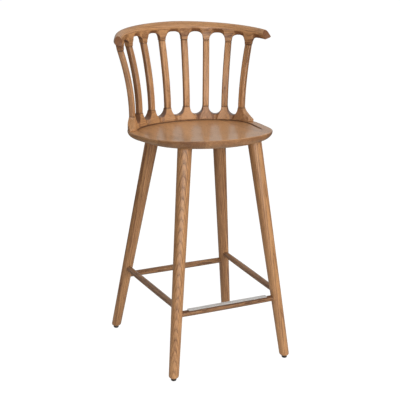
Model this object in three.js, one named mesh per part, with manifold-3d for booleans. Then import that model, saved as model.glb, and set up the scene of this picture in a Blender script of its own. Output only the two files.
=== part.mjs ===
// Bar stool with a curved spindle back, a dished seat and a footrest with a steel strip.
// Millimetres, +Z up, the front of the stool faces -Y.
import * as THREE from 'three';
import Module from 'manifold-3d';

const wasm = await Module();
wasm.setup();

// ---- driving dimensions ----
const GAP = 0.3;                 // play left wherever two pieces touch
const MOVE_Y = -6.5807;          // puts the middle of the bounding box on the origin

// seat: top height above the floor falls from front to back along a shallow curve
const SEAT_Z = 730.8;
const SEAT_SLOPE = -0.0455;
const SEAT_CURVE = 1.02e-4;
const SEAT_THICK = 25.6;
const SEAT_UNDERCUT = 34;        // how far the underside edge sits inside the top edge
const SEAT_HARMONICS = [222.31, -6.54, -4.88, 6.13, -5.25, -1.36, 2.79, 0.07, -0.61];
const DISH_HARMONICS = [189.76, -5.98, -6.64, 6.36, -3.79, -1.16, 2.98, 0.38, -0.75];
const DISH_DEPTH = 3.2;
const DISH_FADE = [-120, 20];    // dish depth grows from nothing to full between these y values

// plan ellipses that carry the spindle axes: half width, half depth, centre y
const LOWER = { a: 218.8, b: 159.1, y: 39.8 };
const UPPER = { a: 260.4, b: 209.3, y: 26.6 };
const LOWER_ANGLES = [9.1, 26.8, 45.1, 64.1];
const UPPER_ANGLES = [8.9, 25.8, 43.2, 60.8];

// curved base of the back, standing on the rear edge of the seat
const BASE_JOINT_Z = 768.3;
const BASE_VALLEY_Z = 741.3;
const BASE_FOOT = 17;            // half thickness at the seat, less where the seat edge is nearer
const BASE_HEAD = 9;             // half thickness at the spindle joints
const BASE_END = 80;             // plan angle of the two ends
const BASE_END_Z = 735;
const BASE_END_FALL = 0.48;      // below 1 the top line drops steeply, then levels out

// crest rail: heights are measured down from its top line
const CREST_Z = 1047.8;
const CREST_DROP = 19.5;
const CREST_HALF = 78;
const CREST_JOINT = 60;
const CREST_ARCH = 34;
const CREST_SECTION = [[-9, 30], [-6, 27], [-11, 15.5], [-7, 6], [-1, 1], [6, 0], [11.5, 4.5],
  [15.5, 20]];

// spindles
const SPINDLE_WIDE = 21;
const SPINDLE_DEEP = 18;
const SPINDLE_CHAMFER = 3.2;
const SPINDLE_BENDS = [1.5, 1.65, 1.8, 1.85];   // how late the outward sweep comes, middle pair first
const TENON_R = 5;
const TENON_LONG = 14;

// legs: centre at the floor, slopes per millimetre of height
const LEGS = {
  front: { x: 199.7, y: -224.7, inX: 0.1123, inY: 0.1468 },
  back: { x: 216.3, y: 224.7, inX: 0.1388, inY: -0.1468 },
};
const LEG_R0 = 15.87;
const LEG_TAPER = 0.0091;
const LEG_SOCKET = 18;           // depth of the leg in the seat
const GLIDE_HIGH = 8;
const GLIDE_R = 8.8;

// stretchers
const STRETCH_R = 10.3;
const STRETCH_END_R = 9.4;
const STRETCH_SINK = 10;         // depth of each end in its leg
const SIDE_FRONT_Z = 225.7;
const SIDE_BACK_Z = 228.9;
const FRONT_Z = 203.6;
const BACK_Z = 201.6;

// steel strip on the front stretcher
const STRIP_LONG = 278;
const STRIP_WIDE = 17;
const STRIP_THICK = 2.5;
const STRIP_SEAT = 9.0;          // height of the flat under the strip above the stretcher's axis
const SCREW_X = [-120, 0, 120];

// ---- colours ----
const wood = (color) => new THREE.MeshStandardMaterial({ color, roughness: 0.5, metalness: 0 });
const OAK = wood(0xb5835a);
const OAK_DARK = wood(0x9c6e4a);
const STEEL = new THREE.MeshStandardMaterial({ color: 0xc9c7c2, roughness: 0.3, metalness: 1 });
const PLASTIC = new THREE.MeshStandardMaterial({ color: 0x1c1a19, roughness: 0.6, metalness: 0 });

const group = new THREE.Group();
group.name = 'bar_stool';

// ---- solids ----
const rad = THREE.MathUtils.degToRad;

function toManifold(points, triangles) {
  const flat = new Float32Array(points.flat());
  const tris = new Uint32Array(triangles.flat());
  const solid = new wasm.Manifold(new wasm.Mesh({ numProp: 3, vertProperties: flat, triVerts: tris }));
  if (solid.volume() > 0) return solid;
  const turned = triangles.map(([a, b, c]) => [a, c, b]);
  return new wasm.Manifold(new wasm.Mesh({
    numProp: 3, vertProperties: flat, triVerts: new Uint32Array(turned.flat()),
  }));
}

function mean(ring) {
  const total = [0, 0, 0];
  ring.forEach((p) => p.forEach((v, i) => { total[i] += v / ring.length; }));
  return total;
}

// Skin through rings of equal length, closed with a fan at both ends.
function loft(rings, startPoint = mean(rings[0]), endPoint = mean(rings.at(-1))) {
  const n = rings[0].length;
  const points = rings.flat();
  const triangles = [];
  for (let r = 0; r + 1 < rings.length; r += 1) {
    for (let i = 0; i < n; i += 1) {
      const a = r * n + i;
      const b = r * n + ((i + 1) % n);
      triangles.push([a, b, b + n], [a, b + n, a + n]);
    }
  }
  const last = (rings.length - 1) * n;
  points.push(startPoint, endPoint);
  for (let i = 0; i < n; i += 1) {
    const j = (i + 1) % n;
    triangles.push([points.length - 2, j, i], [points.length - 1, last + i, last + j]);
  }
  return toManifold(points, triangles);
}

// Round bar through stations of centre and radius; each ring lies square to `axis`.
function bar(stations, axis, sides) {
  const dir = new THREE.Vector3(...axis).normalize();
  const side = new THREE.Vector3().crossVectors(dir, new THREE.Vector3(0, 1, 0.001)).normalize();
  const up = new THREE.Vector3().crossVectors(dir, side);
  const rings = stations.map(([centre, radius]) => Array.from({ length: sides }, (_, i) => {
    const t = (2 * Math.PI * i) / sides;
    const p = new THREE.Vector3(...centre);
    p.addScaledVector(side, radius * Math.cos(t)).addScaledVector(up, radius * Math.sin(t));
    return p.toArray();
  }));
  return loft(rings);
}

function box(min, max) {
  const [x0, y0, z0] = min;
  const [x1, y1, z1] = max;
  const ring = (z) => [[x0, y0, z], [x1, y0, z], [x1, y1, z], [x0, y1, z]];
  return loft([ring(z0), ring(z1)]);
}

function addPart(name, solid, material) {
  const { vertProperties, triVerts, numProp } = solid.getMesh();
  const positions = [];
  for (let i = 0; i < vertProperties.length; i += numProp) {
    positions.push(vertProperties[i], vertProperties[i + 1] + MOVE_Y, vertProperties[i + 2]);
  }
  const geometry = new THREE.BufferGeometry();
  geometry.setAttribute('position', new THREE.Float32BufferAttribute(positions, 3));
  geometry.setIndex(Array.from(triVerts));
  geometry.computeVertexNormals();
  const mesh = new THREE.Mesh(geometry, material);
  mesh.name = name;
  group.add(mesh);
}

// ---- the curved back's plan ----
function onEllipse({ a, b, y }, degrees, offset = 0) {
  const t = rad(degrees);
  const normal = new THREE.Vector2(b * Math.sin(t), a * Math.cos(t)).normalize();
  return [a * Math.sin(t) + normal.x * offset, y + b * Math.cos(t) + normal.y * offset];
}

// Arc length per degree of plan angle.
function stride({ a, b }, degrees) {
  const t = rad(degrees);
  return Math.hypot(a * Math.cos(t), b * Math.sin(t)) * rad(1);
}

const mirrored = (angles) => [...angles].reverse().map((v) => -v).concat(angles);

// Stations along a scalloped piece: plan angle and height of the scalloped edge.
// `joints` are the spindle angles, `jointZ` and `scoopZ` give heights by angle.
function scallops(ellipse, joints, jointZ, scoopZ, power) {
  const half = joints.map((v) => SPINDLE_WIDE / 2 / stride(ellipse, v));
  const stations = [];
  joints.forEach((angle, i) => {
    stations.push([angle - half[i], jointZ(angle)], [angle + half[i], jointZ(angle)]);
    if (i + 1 === joints.length) return;
    const from = angle + half[i];
    const to = joints[i + 1] - half[i + 1];
    const middle = (from + to) / 2;
    for (const t of [-0.97, -0.88, -0.72, -0.45, 0, 0.45, 0.72, 0.88, 0.97]) {
      const joint = jointZ(t < 0 ? angle : joints[i + 1]);
      const rise = (1 - Math.abs(t) ** power) ** (1 / power);
      stations.push([middle + (t * (to - from)) / 2, joint + (scoopZ(middle) - joint) * rise]);
    }
  });
  return stations;
}

// ---- seat ----
const seatTop = (y) => SEAT_Z + SEAT_SLOPE * y + SEAT_CURVE * y * y;
const seatBottom = (y) => SEAT_Z - SEAT_THICK + SEAT_SLOPE * y;

function outline(harmonics, theta) {
  return harmonics.reduce((sum, value, k) => sum + value * Math.cos(k * theta), 0);
}

function dishDepth(y) {
  return DISH_DEPTH * THREE.MathUtils.smoothstep(y, ...DISH_FADE);
}

function makeSeat() {
  const sides = 72;
  const ring = (radius, height) => Array.from({ length: sides }, (_, i) => {
    const theta = (2 * Math.PI * i) / sides;
    const r = radius(theta);
    const x = r * Math.sin(theta);
    const y = -r * Math.cos(theta);
    return [x, y, height(y)];
  });
  const edge = (theta) => outline(SEAT_HARMONICS, theta);
  const dish = (theta) => outline(DISH_HARMONICS, theta);
  const floor = (y) => seatTop(y) - dishDepth(y) - 0.05;
  const rings = [0.35, 0.7, 0.985].map((k) => ring((t) => dish(t) * k, floor));
  rings.push(ring((t) => dish(t), seatTop));
  rings.push(ring((t) => edge(t) - 2.5, seatTop));
  for (const [inset, drop] of [[0.8, 0.7], [0, 3]]) {
    rings.push(ring((t) => edge(t) - inset, (y) => seatTop(y) - drop));
  }
  for (const turn of [15, 35, 55, 75, 90]) {
    const inset = SEAT_UNDERCUT * (1 - Math.cos(rad(turn)));
    const down = Math.sin(rad(turn));
    rings.push(ring((t) => edge(t) - inset, (y) => {
      const start = seatTop(y) - 3;
      return start + (seatBottom(y) - start) * down;
    }));
  }
  const seat = loft(rings, [0, 0, floor(0)], [0, 0, seatBottom(0)]);
  const sockets = legCorners().map((leg) => legBar(leg, GAP, -20));
  return sockets.reduce((solid, socket) => solid.subtract(socket), seat);
}

// ---- legs ----
function legCorners() {
  return ['front', 'back'].flatMap((row) => [-1, 1].map((side) => ({
    name: `leg_${row}_${side < 0 ? 'left' : 'right'}`,
    side,
    ...LEGS[row],
  })));
}

function legAxis(leg, z) {
  return [leg.side * (leg.x - leg.inX * z), leg.y + leg.inY * z];
}

function legTopZ(leg) {
  const guess = seatBottom(leg.y + leg.inY * 700);
  return seatBottom(leg.y + leg.inY * guess) + LEG_SOCKET;
}

// Tapered leg with horizontal rings; `extra` grows it to make a socket tool.
function legBar(leg, extra, below) {
  const top = legTopZ(leg) + extra;
  const foot = GLIDE_HIGH + GAP;
  const shape = extra > 0
    ? [[top - LEG_SOCKET + below, 0], [top, 0]]
    : [[foot, 5.3], [foot + 2.4, 2.5], [foot + 5, 0.5], [foot + 9, 0], [top, 0]];
  const rings = shape.map(([z, smaller]) => {
    const [x, y] = legAxis(leg, z);
    const r = LEG_R0 + LEG_TAPER * z - smaller + extra;
    return Array.from({ length: 28 }, (_, i) => {
      const t = (2 * Math.PI * i) / 28;
      return [x + r * Math.cos(t), y + r * Math.sin(t), z];
    });
  });
  return loft(rings);
}

// ---- stretchers ----
function stretchers() {
  const [fl, fr, bl, br] = legCorners();
  return [
    ['stretcher_left', fl, bl, SIDE_FRONT_Z, SIDE_BACK_Z],
    ['stretcher_right', fr, br, SIDE_FRONT_Z, SIDE_BACK_Z],
    ['stretcher_front', fl, fr, FRONT_Z, FRONT_Z],
    ['stretcher_back', bl, br, BACK_Z, BACK_Z],
  ].map(([name, from, to, fromZ, toZ]) => {
    const a = new THREE.Vector3(...legAxis(from, fromZ), fromZ);
    const b = new THREE.Vector3(...legAxis(to, toZ), toZ);
    const dir = b.clone().sub(a).normalize();
    const legR = LEG_R0 + LEG_TAPER * fromZ;
    const inset = legR - STRETCH_SINK;
    return { name, a, b, dir, inset, legs: [from.name, to.name] };
  });
}

function stretcherBar(item) {
  const length = item.a.distanceTo(item.b);
  const shape = [0, 0.12, 0.3, 0.5, 0.7, 0.88, 1].map((t) => {
    const along = item.inset + t * (length - 2 * item.inset);
    const bulge = 1 - (2 * t - 1) ** 2;
    const centre = item.a.clone().addScaledVector(item.dir, along).toArray();
    return [centre, STRETCH_END_R + (STRETCH_R - STRETCH_END_R) * bulge];
  });
  return bar(shape, item.dir.toArray(), 24);
}

// Blind round socket in a leg for one stretcher end.
function stretcherSocket(item, end) {
  const sign = end === 0 ? 1 : -1;
  const origin = end === 0 ? item.a : item.b;
  const point = (along) => origin.clone().addScaledVector(item.dir, sign * along).toArray();
  const radius = STRETCH_END_R + 0.12 + GAP;
  return bar([[point(item.inset - GAP), radius], [point(40), radius]], item.dir.toArray(), 24);
}

// ---- spindles ----
function spindleAxis(index, t) {
  const low = onEllipse(LOWER, mirrored(LOWER_ANGLES)[index]);
  const high = onEllipse(UPPER, mirrored(UPPER_ANGLES)[index]);
  const k = t ** SPINDLE_BENDS[Math.min(Math.abs(3 - index), Math.abs(4 - index))];
  return [low[0] + (high[0] - low[0]) * k, low[1] + (high[1] - low[1]) * k];
}

function spindleTopZ(index) {
  return crestTop(mirrored(UPPER_ANGLES)[index]) - CREST_JOINT;
}

function spindleTurn(index, t) {
  const [lowAngle, highAngle] = [LOWER_ANGLES, UPPER_ANGLES].map((list) => mirrored(list)[index]);
  const face = ({ a, b }, angle) => Math.atan2(b * Math.sin(rad(angle)), a * Math.cos(rad(angle)));
  return THREE.MathUtils.lerp(face(LOWER, lowAngle), face(UPPER, highAngle), t);
}

function spindleTenons(index, extra) {
  const bottom = spindleAxis(index, 0);
  const topZ = spindleTopZ(index);
  const top = [...spindleAxis(index, 1), topZ];
  const before = [...spindleAxis(index, 0.97), topZ - 0.03 * (topZ - BASE_JOINT_Z)];
  const lean = new THREE.Vector3(...top).sub(new THREE.Vector3(...before)).normalize();
  const along = (d) => new THREE.Vector3(...top).addScaledVector(lean, d).toArray();
  const r = TENON_R + extra;
  const low = (z) => [...bottom, z];
  return [
    bar([[low(BASE_JOINT_Z - TENON_LONG - extra), r], [low(BASE_JOINT_Z + 2), r]], [0, 0, 1], 12),
    bar([[along(-3), r], [along(TENON_LONG + extra), r]], lean.toArray(), 12),
  ];
}

function makeSpindle(index) {
  const bottomZ = BASE_JOINT_Z + GAP;
  const topZ = spindleTopZ(index) - GAP;
  const w = SPINDLE_WIDE / 2;
  const d = SPINDLE_DEEP / 2;
  const c = SPINDLE_CHAMFER;
  const section = [[-w, -d + c], [-w + c, -d], [w - c, -d], [w, -d + c],
    [w, d - c], [w - c, d], [-w + c, d], [-w, d - c]];
  const rings = Array.from({ length: 10 }, (_, i) => {
    const t = i / 9;
    const [x, y] = spindleAxis(index, t);
    const turn = spindleTurn(index, t);
    return section.map(([u, v]) => [
      x + u * Math.cos(turn) + v * Math.sin(turn),
      y - u * Math.sin(turn) + v * Math.cos(turn),
      bottomZ + t * (topZ - bottomZ),
    ]);
  });
  return spindleTenons(index, 0).reduce((solid, tenon) => solid.add(tenon), loft(rings));
}

// ---- base of the back ----
// Distance from the spindle line out to just inside the seat's edge.
function roomToEdge(angle) {
  let room = BASE_FOOT + 3;
  const outside = () => {
    const [x, y] = onEllipse(LOWER, angle, room);
    return Math.hypot(x, y) > outline(SEAT_HARMONICS, Math.atan2(x, -y)) - 0.8;
  };
  while (outside()) room -= 0.1;
  return room;
}

function baseRing(angle, top) {
  const [, centreY] = onEllipse(LOWER, angle);
  const foot = seatTop(centreY);
  const half = (z) => BASE_FOOT + ((BASE_HEAD - BASE_FOOT) * (z - foot)) / (BASE_JOINT_Z - foot);
  const at = (offset, z) => [...onEllipse(LOWER, angle, offset), z];
  const resting = (offset) => {
    const [x, y] = onEllipse(LOWER, angle, offset);
    return [x, y, seatTop(y) + GAP];
  };
  const chamfer = 2;
  const outer = Math.min(BASE_FOOT, roomToEdge(angle));
  const outerHalf = Math.min(half(top), outer);
  return [
    resting(-BASE_FOOT), at(-half(top - chamfer), top - chamfer), at(-half(top) + chamfer, top),
    at(outerHalf - chamfer, top), at(outerHalf, top - chamfer), resting(outer), resting(0),
  ];
}

function makeBase() {
  const joints = mirrored(LOWER_ANGLES);
  const stations = scallops(LOWER, joints, () => BASE_JOINT_Z, () => BASE_VALLEY_Z, 2.1);
  const [lastAngle] = stations.at(-1);
  const tail = [0.05, 0.15, 0.35, 0.65, 1].map((t) => {
    const fall = (BASE_JOINT_Z - BASE_END_Z) * t ** BASE_END_FALL;
    return [lastAngle + (BASE_END - lastAngle) * t, BASE_JOINT_Z - fall];
  });
  const head = [...tail].reverse().map(([angle, z]) => [-angle, z]);
  const rings = [...head, ...stations, ...tail].map(([angle, z]) => baseRing(angle, z));
  const base = loft(rings);
  return joints.reduce((solid, _, i) => solid.subtract(spindleTenons(i, GAP)[0]), base);
}

// ---- crest rail ----
function crestTop(angle) {
  return CREST_Z - CREST_DROP * (Math.abs(angle) / CREST_HALF) ** 1.55;
}

// Sloping cut at the two ends: how far forward the rail reaches at height z.
function crestEndY(z) {
  return 60.1 + 0.666 * Math.max(0, z - 1006.6);
}

function crestRing(angle, bottom) {
  const top = crestTop(angle);
  const isEnd = Math.abs(angle) >= CREST_HALF;
  const drop = top - bottom;
  const outer = THREE.MathUtils.mapLinear(drop, CREST_ARCH, CREST_JOINT, 14, 9);
  const lift = THREE.MathUtils.mapLinear(drop, CREST_ARCH, CREST_JOINT, 6, 0);
  const section = [[-9, drop], ...CREST_SECTION.map(([d, down]) => [d, Math.min(down, drop - 2)]),
    [outer, drop - lift]];
  return section.map(([offset, down]) => {
    const z = top - down;
    const turn = isEnd ? endAngle(offset, z) * Math.sign(angle) : angle;
    return [...onEllipse(UPPER, turn, offset), z];
  });
}

// Plan angle at which the end cut meets the given offset and height.
function endAngle(offset, z) {
  let [low, high] = [60, 89];
  for (let i = 0; i < 40; i += 1) {
    const middle = (low + high) / 2;
    if (onEllipse(UPPER, middle, offset)[1] > crestEndY(z)) low = middle;
    else high = middle;
  }
  return low;
}

function makeCrest() {
  const joints = mirrored(UPPER_ANGLES);
  const jointZ = (angle) => crestTop(angle) - CREST_JOINT;
  const stations = scallops(UPPER, joints, jointZ, (angle) => crestTop(angle) - CREST_ARCH, 2.5);
  const [lastAngle, lastZ] = stations.at(-1);
  const quarter = [0.04, 0.15, 0.35, 0.65, 1].map((t) => {
    const angle = lastAngle + 6.2 * t;
    const rise = Math.sqrt(1 - (1 - t) ** 2);
    return [angle, lastZ + (crestTop(angle) - CREST_ARCH + 1 - lastZ) * rise];
  });
  quarter.push([CREST_HALF + 1, crestTop(CREST_HALF) - CREST_ARCH + 3]);
  const mirror = [...quarter].reverse().map(([angle, z]) => [-angle, z]);
  const rings = [...mirror, ...stations, ...quarter].map(([angle, z]) => crestRing(angle, z));
  const crest = loft(rings);
  return joints.reduce((solid, _, i) => solid.subtract(spindleTenons(i, GAP)[1]), crest);
}

// ---- footrest strip ----
function frontCentreY() {
  return LEGS.front.y + LEGS.front.inY * FRONT_Z;
}

function screwBar(x, extra) {
  const y = frontCentreY();
  const bottom = FRONT_Z + STRIP_SEAT + GAP;
  const top = bottom + STRIP_THICK;
  const headTop = extra > 0 ? top + 1 : top - 0.1;
  const stations = [[[x, y, top - 14 - extra], 1.5 + extra], [[x, y, bottom + 0.2], 1.5 + extra],
    [[x, y, top - 0.3], 3.2 + extra], [[x, y, headTop], 3.2 + extra]];
  return bar(stations, [0, 0, 1], 16);
}

function makeStrip() {
  const y = frontCentreY();
  const bottom = FRONT_Z + STRIP_SEAT + GAP;
  const [l, w] = [STRIP_LONG / 2, STRIP_WIDE / 2];
  const c = 1.5;
  const plan = [[-l + c, -w], [l - c, -w], [l, -w + c], [l, w - c], [l - c, w], [-l + c, w],
    [-l, w - c], [-l, -w + c]];
  const rings = [bottom, bottom + STRIP_THICK].map((z) => plan.map(([u, v]) => [u, y + v, z]));
  return SCREW_X.reduce((solid, x) => solid.subtract(screwBar(x, GAP)), loft(rings));
}

function makeStretcher(item) {
  const round = stretcherBar(item);
  if (item.name !== 'stretcher_front') return round;
  const y = frontCentreY();
  const flat = FRONT_Z + STRIP_SEAT;
  const above = box([-STRIP_LONG / 2 - 1, y - 20, flat], [STRIP_LONG / 2 + 1, y + 20, flat + 20]);
  return SCREW_X.reduce((solid, x) => solid.subtract(screwBar(x, GAP)), round.subtract(above));
}

// ---- assembly ----
addPart('seat', makeSeat(), OAK);
addPart('back_base', makeBase(), OAK);
addPart('crest_rail', makeCrest(), OAK);
for (let i = 0; i < 8; i += 1) addPart(`spindle_${i + 1}`, makeSpindle(i), OAK);

const rungs = stretchers();
for (const leg of legCorners()) {
  const tools = rungs.flatMap((item) => item.legs
    .map((name, end) => (name === leg.name ? stretcherSocket(item, end) : null))
    .filter(Boolean));
  const solid = tools.reduce((rest, tool) => rest.subtract(tool), legBar(leg, 0, 0));
  addPart(leg.name, solid, OAK);
  const [x, y] = legAxis(leg, GLIDE_HIGH);
  const glide = bar([[[x, y, 0], GLIDE_R - 1], [[x, y, 1], GLIDE_R], [[x, y, GLIDE_HIGH], GLIDE_R]],
    [0, 0, 1], 24);
  addPart(leg.name.replace('leg', 'glide'), glide, PLASTIC);
}
for (const item of rungs) addPart(item.name, makeStretcher(item), OAK_DARK);
addPart('footrest_strip', makeStrip(), STEEL);
SCREW_X.forEach((x, i) => addPart(`strip_screw_${i + 1}`, screwBar(x, 0), STEEL));

export default group;
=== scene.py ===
"""Bar stool with a curved spindle back, a dished seat and a footrest with a steel strip.

Every shape is worked out in millimetres, in the frame of the CAD model, and stored in metres.
"""

import math
import random

import bmesh
import bpy
import numpy as np
from mathutils import Matrix, Vector


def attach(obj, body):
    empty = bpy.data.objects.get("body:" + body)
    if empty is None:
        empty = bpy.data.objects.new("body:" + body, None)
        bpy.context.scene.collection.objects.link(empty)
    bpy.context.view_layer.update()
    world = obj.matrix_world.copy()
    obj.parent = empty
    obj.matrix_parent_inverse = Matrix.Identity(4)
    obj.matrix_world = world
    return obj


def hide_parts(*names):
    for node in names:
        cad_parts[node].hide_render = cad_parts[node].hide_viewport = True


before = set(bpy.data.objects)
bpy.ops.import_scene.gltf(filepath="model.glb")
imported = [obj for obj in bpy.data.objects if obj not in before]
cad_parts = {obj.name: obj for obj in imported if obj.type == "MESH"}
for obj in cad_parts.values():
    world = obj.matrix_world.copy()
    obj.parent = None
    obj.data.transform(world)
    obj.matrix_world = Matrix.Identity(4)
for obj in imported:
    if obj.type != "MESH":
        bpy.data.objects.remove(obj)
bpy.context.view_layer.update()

# ---- sizes: those that the CAD model also has are the same there, except DISH_FADE ----
MM = 0.001
MOVE_Y = -6.5807
GAP = 0.3                        # play left where two pieces touch

SEAT_Z = 730.8
SEAT_SLOPE = -0.0455
SEAT_CURVE = 1.02e-4
SEAT_THICK = 25.6
SEAT_UNDERCUT = 34
SEAT_HARMONICS = [222.31, -6.54, -4.88, 6.13, -5.25, -1.36, 2.79, 0.07, -0.61]
DISH_HARMONICS = [189.76, -5.98, -6.64, 6.36, -3.79, -1.16, 2.98, 0.38, -0.75]
DISH_DEPTH = 3.2
DISH_FADE = (-135, -10)          # the depth grows from nothing to full between these y values
DISH_CORNER = [                  # distance inside the dish's edge, part of its depth, painted shade in the corner
    (4.2, 1, 0), (2.6, 1, 0.7), (1.4, 0.97, 1), (0.8, 0.7, 1),
    (0.5, 0.35, 1), (0.2, 0.1, 0.5), (-0.4, 0, 0), (-2, 0, 0),
]
SEAT_ROUND = (3.6, 3.0)          # upper rounding of the seat's edge: how far in and how far down
SEAT_SIDES = 240

LOWER = (218.8, 159.1, 39.8)     # half width, half depth, centre y of the spindles' feet
UPPER = (260.4, 209.3, 26.6)     # the same for their heads
LOWER_ANGLES = [9.1, 26.8, 45.1, 64.1]
UPPER_ANGLES = [8.9, 25.8, 43.2, 60.8]

BASE_JOINT_Z = 768.3
BASE_VALLEY_Z = 741.3
BASE_FOOT = 17
BASE_HEAD = 9
BASE_END = 80
BASE_END_Z = 735
BASE_END_FALL = 0.48
BASE_FLARE = 0.3                 # how much the stubs' front faces widen on each side per mm down
BASE_RECESS = (0.38, 4.5)        # slope and greatest depth of the cut beside each stub
BASE_END_ROUND = 9               # length over which the ends of the base narrow

CREST_Z = 1047.8
CREST_DROP = 19.5
CREST_HALF = 78
CREST_JOINT = 60
CREST_ARCH = 34
CREST_RIDGE = (20, 15.5)         # depth of the inner ridge below the top, in the middle and at the ends
CREST_UPPER = [                  # from the ridge over the top: offset outward and depth
    (-8, 8.5), (-1, 1), (6, 0), (11.5, 4.5), (15.5, 20),
]
CREST_RADII = [1.2, 5, 5, 8, 6, 8, 6, 8, 2.5]    # rounding of each corner of its section
CREST_FALL = 1.55                # above 1 the top line drops mostly near the ends
CREST_ROUND = 6.2                # degrees over which the underside rises past the last spindle
CREST_CUT_Y = 60.1               # how far forward the ends reach below CREST_CUT_Z
CREST_CUT_Z = 1006.6
CREST_CUT_SLOPE = 0.666

SPINDLE_WIDE = 21
SPINDLE_DEEP = 18
SPINDLE_CHAMFER = 3.2
SPINDLE_BENDS = [1.5, 1.65, 1.8, 1.85]
SPINDLE_EASE = 1.3               # rounding of its long edges
SPINDLE_BEVEL = (0.3, 0.25)      # height and inset of the small bevel at both ends

LEGS = {
    "front": (199.7, -224.7, 0.1123, 0.1468),
    "back": (216.3, 224.7, 0.1388, -0.1468),
}
LEG_R0 = 15.87
LEG_TAPER = 0.0091
LEG_TOP_GUESS = 700              # height at which the seat's underside over the leg is looked up
LEG_INTO_SEAT = 7
LEG_ROUNDING = [                 # height above the leg's lower end, and how much thinner it is
    (0, 6.0), (0.3, 5.4), (1.2, 4.2), (2.4, 2.8), (3.8, 1.4), (5, 0.6), (6.6, 0.35), (9, 0),
]
GLIDE_HIGH = 8
GLIDE_R = 8.8
GLIDE_PROFILE = [
    (2, 0), (5.6, 0), (6.9, 0.35), (7.9, 1.2), (8.5, 2.4), (GLIDE_R, 4.0), (GLIDE_R, 7.0),
    (8.3, GLIDE_HIGH), (3, GLIDE_HIGH),
]

STRETCH_R = 10.3
STRETCH_END_R = 9.4
STRETCH_SINK = 10
SIDE_FRONT_Z = 225.7
SIDE_BACK_Z = 228.9
FRONT_Z = 203.6
BACK_Z = 201.6
STRETCHERS = [
    ("left", ("front", -1), ("back", -1), (SIDE_FRONT_Z, SIDE_BACK_Z)),
    ("right", ("front", 1), ("back", 1), (SIDE_FRONT_Z, SIDE_BACK_Z)),
    ("front", ("front", -1), ("front", 1), (FRONT_Z, FRONT_Z)),
    ("back", ("back", -1), ("back", 1), (BACK_Z, BACK_Z)),
]
STRIP_THICK = 2.5
STRIP_SEAT = 9.0
STRIP_LONG = 278
STRIP_WIDE = 17
SCREW_X = (-120, 0, 120)
SCREW_PROFILE = [                # radius, and height above the strip
    (1.2, -2.2), (3.0, -0.3), (3.2, 0.0), (3.0, 0.0),
    (2.4, -0.02), (1.3, -0.05), (1.1, -0.35), (0.5, -0.4),
]

# ---- stain and painted shade: a tone above 0 is lighter, and a shade is how much darker a face is ----
SEAT_HEART = (310, 95)           # how far the heart of its timber lies to the left and below
SEAT_TONE = 0.2
END_GRAIN_SHADE = 0.85           # seat's edge where the fibres end

BASE_HEART = (70, -700)
BASE_SLOPES = [6, -6, 8, 0, -48, 82, 70, 76]     # run of the grain in each block, degrees
BASE_TONES = [0.16, 0.02, 0.12, 0.2, 0.5, -0.2, 0.1, -0.12]
BASE_SHADED = 66                 # plan angle up to which the next two apply
FACET_PAINTED_SHADE = 0.7                # painted shade on the faces beside the stubs
HOLLOW_PAINTED_SHADE = 0.5               # painted shade on the upward faces in the scallops

CREST_HEART = (64, -1010)
CREST_TONE = 0.16
COVE_PAINTED_SHADE = 0.9                 # painted shade on the rail's downward faces
CUT_SHADE = 1.3                  # its sawn ends
OUTER_STUBS = 52                 # plan angle beyond which its stubs take the first shade
STUB_SHADES = (0.6, 0.32)
RIGHT_PAINTED_SHADE = 0.36               # painted shade on the lower part of its right half

SPINDLE_TONES = [0.12, -0.06, 0.02, 0.10, 0.04, 0.04, -0.06, -0.04]
SIDE_PAINTED_SHADE = 0.35                # painted shade on the spindles' side faces
STRETCH_TOP_PAINTED_SHADOW = 0.9          # painted shadow of the strip on the front stretcher's top
STRETCH_LOW_PAINTED_SHADE = 0.35         # painted shade on the underside of every stretcher


# ---- small helpers ----
def mirrored(values):
    return [-v for v in reversed(values)] + list(values)


def smoothstep(x, low, high):
    t = min(1.0, max(0.0, (x - low) / (high - low)))
    return t * t * (3 - 2 * t)


def lerp(a, b, t):
    return a + (b - a) * t


def on_ellipse(ellipse, degrees, offset=0.0):
    a, b, y = ellipse
    t = math.radians(degrees)
    nx, ny = b * math.sin(t), a * math.cos(t)
    size = math.hypot(nx, ny)
    return a * math.sin(t) + nx / size * offset, y + b * math.cos(t) + ny / size * offset


def plan_turn(points, ellipse):
    """Plan angle of every point round the ellipse, in radians."""
    a, b, y = ellipse
    return np.arctan2(points[:, 0] / a, (points[:, 1] - y) / b)


def ramp(values, low, high):
    """0 up to low, 1 from high on, straight between."""
    return np.clip((values - low) / (high - low), 0, 1)


def circle(sides):
    return [2 * math.pi * i / sides for i in range(sides)]


def stride(ellipse, degrees):
    """Arc length per degree of plan angle."""
    a, b, _ = ellipse
    t = math.radians(degrees)
    return math.hypot(a * math.cos(t), b * math.sin(t)) * math.radians(1)


def fillet(points, radii, segments=3):
    """A closed outline with each corner rounded; every corner gets the same number of points."""
    out = []
    n = len(points)
    for i in range(n):
        p = np.array(points[i], float)
        before = np.array(points[i - 1], float) - p
        after = np.array(points[(i + 1) % n], float) - p
        la, lb = np.linalg.norm(before), np.linalg.norm(after)
        reach = min(radii[i], 0.48 * la, 0.48 * lb)
        start, end = p + before / la * reach, p + after / lb * reach
        for k in range(segments + 1):
            t = k / segments
            out.append(tuple((1 - t) ** 2 * start + 2 * t * (1 - t) * p + t ** 2 * end))
    return out


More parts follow.
